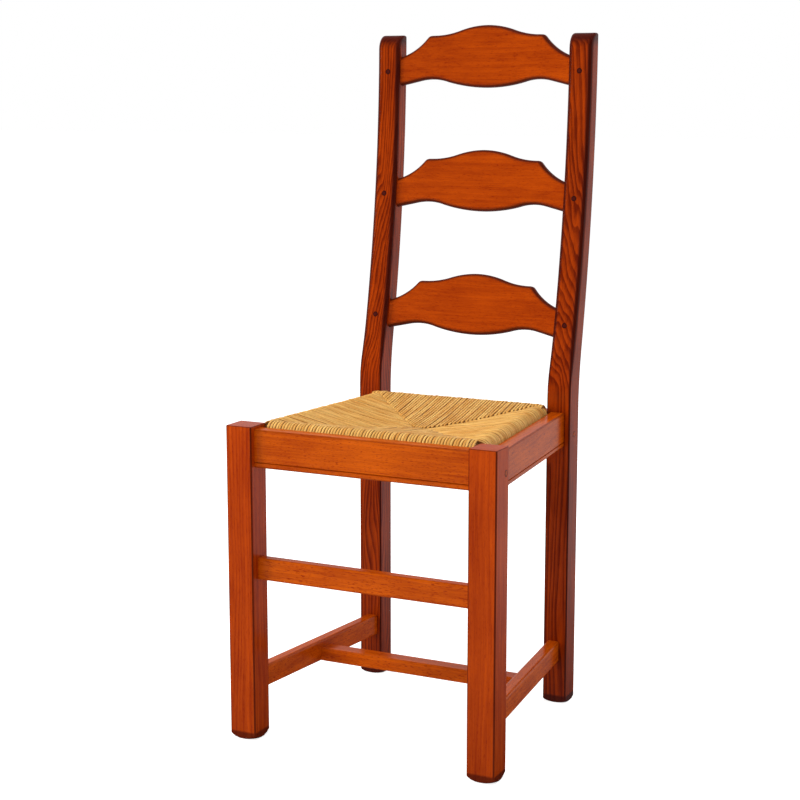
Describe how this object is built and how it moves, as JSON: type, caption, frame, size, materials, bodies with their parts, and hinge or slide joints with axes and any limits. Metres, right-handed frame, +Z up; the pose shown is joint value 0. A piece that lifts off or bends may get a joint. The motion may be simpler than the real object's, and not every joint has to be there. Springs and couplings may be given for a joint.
{
  "type": "ladderback chair",
  "caption": "Ladderback dining chair with scalloped bowed slats, square legs turned round at the foot, beaded aprons, low stretchers and a rush seat on a loose frame.",
  "frame": {"origin": "on the floor, at the middle of the chair's width and depth", "axes": "+X to the right of someone who looks at the chair's front, +Y from the front to the back, +Z up"},
  "size_m": [0.412, 0.4398, 1.0139],
  "materials": {
    "stained_wood": "orange-brown stain under semi-gloss lacquer",
    "peg_wood": "darker stained dowel, end grain",
    "frame_wood": "plain sawn wood, unfinished",
    "rush": "twisted natural rush, matt",
    "screw_steel": "zinc plated"
  },
  "bodies": {
    "root": {"front_leg_left": "stained_wood", "front_leg_right": "stained_wood", "rear_post_left": "stained_wood", "rear_post_right": "stained_wood", "apron_left": "stained_wood", "apron_right": "stained_wood", "stretcher_left": "stained_wood", "stretcher_right": "stained_wood", "apron_front": "stained_wood", "apron_rear": "stained_wood", "stretcher_front": "stained_wood", "stretcher_centre": "stained_wood", "top_slat": "stained_wood", "middle_slat": "stained_wood", "bottom_slat": "stained_wood", "slat_pegs": "peg_wood", "apron_pegs": "peg_wood", "seat_bearer_left": "frame_wood", "seat_bearer_right": "frame_wood", "seat_rail_front": "frame_wood", "seat_rail_rear": "frame_wood", "seat_rail_left": "frame_wood", "seat_rail_right": "frame_wood", "bearer_screws": "screw_steel", "seat_screws": "screw_steel", "rush_front": "rush", "rush_rear": "rush", "rush_left": "rush", "rush_right": "rush"}
  },
  "joints": []
}
